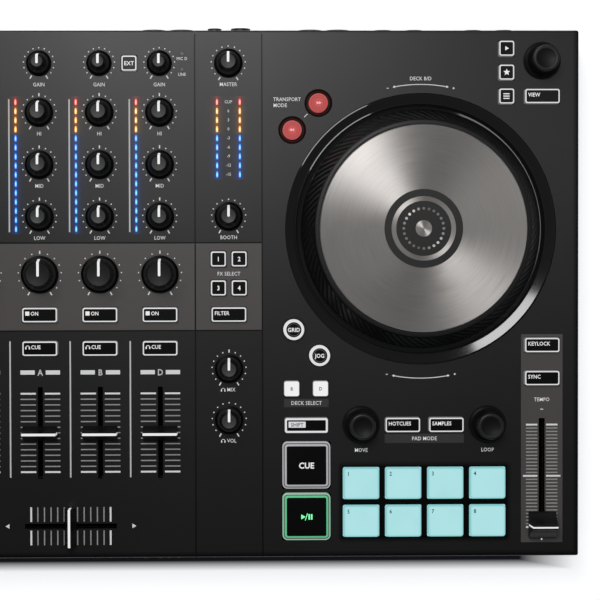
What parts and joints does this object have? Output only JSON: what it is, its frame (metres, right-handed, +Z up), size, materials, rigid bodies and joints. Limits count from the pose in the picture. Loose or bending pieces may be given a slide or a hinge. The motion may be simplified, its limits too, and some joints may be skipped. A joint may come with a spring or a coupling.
{
  "type": "dj controller",
  "caption": "Flat DJ controller: two jog-wheel decks with lit pads and tempo faders either side of a four-channel mixer with knobs, faders and meters.",
  "frame": {"origin": "on the table, under the middle of the case", "axes": "+X to the player's right, +Y to the rear edge with the sockets, +Z up"},
  "size_m": [0.54, 0.306, 0.056],
  "materials": {
    "case_plastic": "moulded satin black",
    "panel_plastic": "fine matt dark grey with a lighter warm grey band",
    "gloss_black": "polished black",
    "foot_rubber": "matt",
    "screw_steel": "zinc plated",
    "circuit_board": "solder mask",
    "pot_metal": "pressed sheet",
    "light_guide": "lit blue, amber and red",
    "socket_plastic": "moulded, with plated contacts",
    "jog_rubber": "ribbed black",
    "brushed_aluminium": "turned, brushed in circles",
    "knob_plastic": "soft black with a white pointer",
    "fader_plastic": "satin black with a white line",
    "pad_silicone": "translucent, lit pale cyan",
    "button_cap": "translucent rim round a black top"
  },
  "bodies": {
    "housing": {"bottom_case": "case_plastic", "top_panel": "panel_plastic", "jog_trays": "gloss_black", "rubber_feet": "foot_rubber", "case_screws": "screw_steel", "circuit_boards": "circuit_board", "slide_pots": "pot_metal", "rotary_pots": "pot_metal", "meter_lenses": "light_guide", "sockets": "socket_plastic"},
    "right_jog_wheel": {"right_jog_platter": "jog_rubber", "right_jog_plate": "brushed_aluminium"},
    "left_jog_wheel": {"left_jog_platter": "jog_rubber", "left_jog_plate": "brushed_aluminium"},
    "right_tempo_fader": {"right_tempo_fader": "fader_plastic"},
    "crossfader": {"crossfader": "fader_plastic"},
    "channel_fader_b": {"channel_fader_b": "fader_plastic"},
    "right_pads": {"right_pads": "pad_silicone"},
    "right_play_button": {"right_play_button": "button_cap"},
    "right_cue_button": {"right_cue_button": "button_cap"},
    "right_deck_buttons": {"right_deck_buttons": "button_cap"},
    "mixer_buttons": {"mixer_buttons": "button_cap"},
    "gain_knob_b": {"gain_knob_b": "knob_plastic"},
    "high_knob_b": {"high_knob_b": "knob_plastic"},
    "mid_knob_b": {"mid_knob_b": "knob_plastic"},
    "low_knob_b": {"low_knob_b": "knob_plastic"},
    "effect_knob_b": {"effect_knob_b": "knob_plastic"},
    "right_browse_encoder": {"right_browse_encoder": "knob_plastic"},
    "right_move_encoder": {"right_move_encoder": "knob_plastic"},
    "right_loop_encoder": {"right_loop_encoder": "knob_plastic"},
    "master_knob": {"master_knob": "knob_plastic"},
    "booth_knob": {"booth_knob": "knob_plastic"},
    "cue_mix_knob": {"cue_mix_knob": "knob_plastic"},
    "cue_volume_knob": {"cue_volume_knob": "knob_plastic"},
    "left_tempo_fader": {"left_tempo_fader": "fader_plastic"},
    "left_pads": {"left_pads": "pad_silicone"},
    "left_play_button": {"left_play_button": "button_cap"},
    "left_cue_button": {"left_cue_button": "button_cap"},
    "left_deck_buttons": {"left_deck_buttons": "button_cap"},
    "left_browse_encoder": {"left_browse_encoder": "knob_plastic"},
    "left_move_encoder": {"left_move_encoder": "knob_plastic"},
    "left_loop_encoder": {"left_loop_encoder": "knob_plastic"},
    "channel_fader_c": {"channel_fader_c": "fader_plastic"},
    "channel_fader_a": {"channel_fader_a": "fader_plastic"},
    "channel_fader_d": {"channel_fader_d": "fader_plastic"},
    "gain_knob_c": {"gain_knob_c": "knob_plastic"},
    "gain_knob_a": {"gain_knob_a": "knob_plastic"},
    "gain_knob_d": {"gain_knob_d": "knob_plastic"},
    "high_knob_c": {"high_knob_c": "knob_plastic"},
    "high_knob_a": {"high_knob_a": "knob_plastic"},
    "high_knob_d": {"high_knob_d": "knob_plastic"},
    "mid_knob_c": {"mid_knob_c": "knob_plastic"},
    "mid_knob_a": {"mid_knob_a": "knob_plastic"},
    "mid_knob_d": {"mid_knob_d": "knob_plastic"},
    "low_knob_c": {"low_knob_c": "knob_plastic"},
    "low_knob_a": {"low_knob_a": "knob_plastic"},
    "low_knob_d": {"low_knob_d": "knob_plastic"},
    "effect_knob_c": {"effect_knob_c": "knob_plastic"},
    "effect_knob_a": {"effect_knob_a": "knob_plastic"},
    "effect_knob_d": {"effect_knob_d": "knob_plastic"}
  },
  "joints": [
    {"name": "right_jog_spin", "type": "hinge", "parent": "housing", "child": "right_jog_wheel", "pos_m": [0.18, 0.037, 0.04], "axis": [0, 0, 1], "continuous": true},
    {"name": "left_jog_spin", "type": "hinge", "parent": "housing", "child": "left_jog_wheel", "pos_m": [-0.18, 0.037, 0.04], "axis": [0, 0, 1], "continuous": true},
    {"name": "right_tempo_slide", "type": "slide", "parent": "housing", "child": "right_tempo_fader", "axis": [0, 1, 0], "range_m": [-0.0025, 0.0575]},
    {"name": "crossfader_slide", "type": "slide", "parent": "housing", "child": "crossfader", "axis": [1, 0, 0], "range_m": [-0.0225, 0.0225]},
    {"name": "channel_fader_slide_b", "type": "slide", "parent": "housing", "child": "channel_fader_b", "axis": [0, 1, 0], "range_m": [-0.0225, 0.0225]},
    {"name": "right_pads_press", "type": "slide", "parent": "housing", "child": "right_pads", "axis": [0, 0, -1], "range_m": [0, 0.0012], "stiffness_N_per_m": 1500},
    {"name": "right_play_button_press", "type": "slide", "parent": "housing", "child": "right_play_button", "axis": [0, 0, -1], "range_m": [0, 0.0008], "stiffness_N_per_m": 2000},
    {"name": "right_cue_button_press", "type": "slide", "parent": "housing", "child": "right_cue_button", "axis": [0, 0, -1], "range_m": [0, 0.0008], "stiffness_N_per_m": 2000},
    {"name": "right_deck_buttons_press", "type": "slide", "parent": "housing", "child": "right_deck_buttons", "axis": [0, 0, -1], "range_m": [0, 0.0008], "stiffness_N_per_m": 2000},
    {"name": "mixer_buttons_press", "type": "slide", "parent": "housing", "child": "mixer_buttons", "axis": [0, 0, -1], "range_m": [0, 0.0008], "stiffness_N_per_m": 2000},
    {"name": "gain_turn_b", "type": "hinge", "parent": "housing", "child": "gain_knob_b", "pos_m": [-0.002, 0.131, 0.04], "axis": [0, 0, 1], "range_deg": [-150, 150]},
    {"name": "high_turn_b", "type": "hinge", "parent": "housing", "child": "high_knob_b", "pos_m": [-0.002, 0.1033, 0.04], "axis": [0, 0, 1], "range_deg": [-150, 150]},
    {"name": "mid_turn_b", "type": "hinge", "parent": "housing", "child": "mid_knob_b", "pos_m": [-0.002, 0.0738, 0.04], "axis": [0, 0, 1], "range_deg": [-150, 150]},
    {"name": "low_turn_b", "type": "hinge", "parent": "housing", "child": "low_knob_b", "pos_m": [-0.002, 0.0443, 0.04], "axis": [0, 0, 1], "range_deg": [-150, 150]},
    {"name": "effect_turn_b", "type": "hinge", "parent": "housing", "child": "effect_knob_b", "pos_m": [-0.002, 0.0117, 0.04], "axis": [0, 0, 1], "range_deg": [-150, 150]},
    {"name": "right_browse_turn", "type": "hinge", "parent": "housing", "child": "right_browse_encoder", "pos_m": [0.249, 0.1322, 0.04], "axis": [0, 0, 1], "continuous": true},
    {"name": "right_move_turn", "type": "hinge", "parent": "housing", "child": "right_move_encoder", "pos_m": [0.146, -0.0742, 0.04], "axis": [0, 0, 1], "continuous": true},
    {"name": "right_loop_turn", "type": "hinge", "parent": "housing", "child": "right_loop_encoder", "pos_m": [0.218, -0.0742, 0.04], "axis": [0, 0, 1], "continuous": true},
    {"name": "master_turn", "type": "hinge", "parent": "housing", "child": "master_knob", "pos_m": [0.071, 0.131, 0.04], "axis": [0, 0, 1], "range_deg": [-150, 150]},
    {"name": "booth_turn", "type": "hinge", "parent": "housing", "child": "booth_knob", "pos_m": [0.071, 0.0444, 0.04], "axis": [0, 0, 1], "range_deg": [-150, 150]},
    {"name": "cue_mix_turn", "type": "hinge", "parent": "housing", "child": "cue_mix_knob", "pos_m": [0.071, -0.042, 0.04], "axis": [0, 0, 1], "range_deg": [-150, 150]},
    {"name": "cue_volume_turn", "type": "hinge", "parent": "housing", "child": "cue_volume_knob", "pos_m": [0.071, -0.0711, 0.04], "axis": [0, 0, 1], "range_deg": [-150, 150]},
    {"name": "left_tempo_slide", "type": "slide", "parent": "housing", "child": "left_tempo_fader", "axis": [0, 1, 0], "range_m": [-0.0025, 0.0575]},
    {"name": "left_pads_press", "type": "slide", "parent": "housing", "child": "left_pads", "axis": [0, 0, -1], "range_m": [0, 0.0012], "stiffness_N_per_m": 1500},
    {"name": "left_play_button_press", "type": "slide", "parent": "housing", "child": "left_play_button", "axis": [0, 0, -1], "range_m": [0, 0.0008], "stiffness_N_per_m": 2000},
    {"name": "left_cue_button_press", "type": "slide", "parent": "housing", "child": "left_cue_button", "axis": [0, 0, -1], "range_m": [0, 0.0008], "stiffness_N_per_m": 2000},
    {"name": "left_deck_buttons_press", "type": "slide", "parent": "housing", "child": "left_deck_buttons", "axis": [0, 0, -1], "range_m": [0, 0.0008], "stiffness_N_per_m": 2000},
    {"name": "left_browse_turn", "type": "hinge", "parent": "housing", "child": "left_browse_encoder", "pos_m": [-0.249, 0.1322, 0.04], "axis": [0, 0, 1], "continuous": true},
    {"name": "left_move_turn", "type": "hinge", "parent": "housing", "child": "left_move_encoder", "pos_m": [-0.146, -0.0742, 0.04], "axis": [0, 0, 1], "continuous": true},
    {"name": "left_loop_turn", "type": "hinge", "parent": "housing", "child": "left_loop_encoder", "pos_m": [-0.218, -0.0742, 0.04], "axis": [0, 0, 1], "continuous": true},
    {"name": "channel_fader_slide_c", "type": "slide", "parent": "housing", "child": "channel_fader_c", "axis": [0, 1, 0], "range_m": [-0.0225, 0.0225]},
    {"name": "channel_fader_slide_a", "type": "slide", "parent": "housing", "child": "channel_fader_a", "axis": [0, 1, 0], "range_m": [-0.0225, 0.0225]},
    {"name": "channel_fader_slide_d", "type": "slide", "parent": "housing", "child": "channel_fader_d", "axis": [0, 1, 0], "range_m": [-0.0225, 0.0225]},
    {"name": "gain_turn_c", "type": "hinge", "parent": "housing", "child": "gain_knob_c", "pos_m": [-0.07, 0.131, 0.04], "axis": [0, 0, 1], "range_deg": [-150, 150]},
    {"name": "gain_turn_a", "type": "hinge", "parent": "housing", "child": "gain_knob_a", "pos_m": [-0.036, 0.131, 0.04], "axis": [0, 0, 1], "range_deg": [-150, 150]},
    {"name": "gain_turn_d", "type": "hinge", "parent": "housing", "child": "gain_knob_d", "pos_m": [0.032, 0.131, 0.04], "axis": [0, 0, 1], "range_deg": [-150, 150]},
    {"name": "high_turn_c", "type": "hinge", "parent": "housing", "child": "high_knob_c", "pos_m": [-0.07, 0.1033, 0.04], "axis": [0, 0, 1], "range_deg": [-150, 150]},
    {"name": "high_turn_a", "type": "hinge", "parent": "housing", "child": "high_knob_a", "pos_m": [-0.036, 0.1033, 0.04], "axis": [0, 0, 1], "range_deg": [-150, 150]},
    {"name": "high_turn_d", "type": "hinge", "parent": "housing", "child": "high_knob_d", "pos_m": [0.032, 0.1033, 0.04], "axis": [0, 0, 1], "range_deg": [-150, 150]},
    {"name": "mid_turn_c", "type": "hinge", "parent": "housing", "child": "mid_knob_c", "pos_m": [-0.07, 0.0738, 0.04], "axis": [0, 0, 1], "range_deg": [-150, 150]},
    {"name": "mid_turn_a", "type": "hinge", "parent": "housing", "child": "mid_knob_a", "pos_m": [-0.036, 0.0738, 0.04], "axis": [0, 0, 1], "range_deg": [-150, 150]},
    {"name": "mid_turn_d", "type": "hinge", "parent": "housing", "child": "mid_knob_d", "pos_m": [0.032, 0.0738, 0.04], "axis": [0, 0, 1], "range_deg": [-150, 150]},
    {"name": "low_turn_c", "type": "hinge", "parent": "housing", "child": "low_knob_c", "pos_m": [-0.07, 0.0443, 0.04], "axis": [0, 0, 1], "range_deg": [-150, 150]},
    {"name": "low_turn_a", "type": "hinge", "parent": "housing", "child": "low_knob_a", "pos_m": [-0.036, 0.0443, 0.04], "axis": [0, 0, 1], "range_deg": [-150, 150]},
    {"name": "low_turn_d", "type": "hinge", "parent": "housing", "child": "low_knob_d", "pos_m": [0.032, 0.0443, 0.04], "axis": [0, 0, 1], "range_deg": [-150, 150]},
    {"name": "effect_turn_c", "type": "hinge", "parent": "housing", "child": "effect_knob_c", "pos_m": [-0.07, 0.0117, 0.04], "axis": [0, 0, 1], "range_deg": [-150, 150]},
    {"name": "effect_turn_a", "type": "hinge", "parent": "housing", "child": "effect_knob_a", "pos_m": [-0.036, 0.0117, 0.04], "axis": [0, 0, 1], "range_deg": [-150, 150]},
    {"name": "effect_turn_d", "type": "hinge", "parent": "housing", "child": "effect_knob_d", "pos_m": [0.032, 0.0117, 0.04], "axis": [0, 0, 1], "range_deg": [-150, 150]}
  ]
}
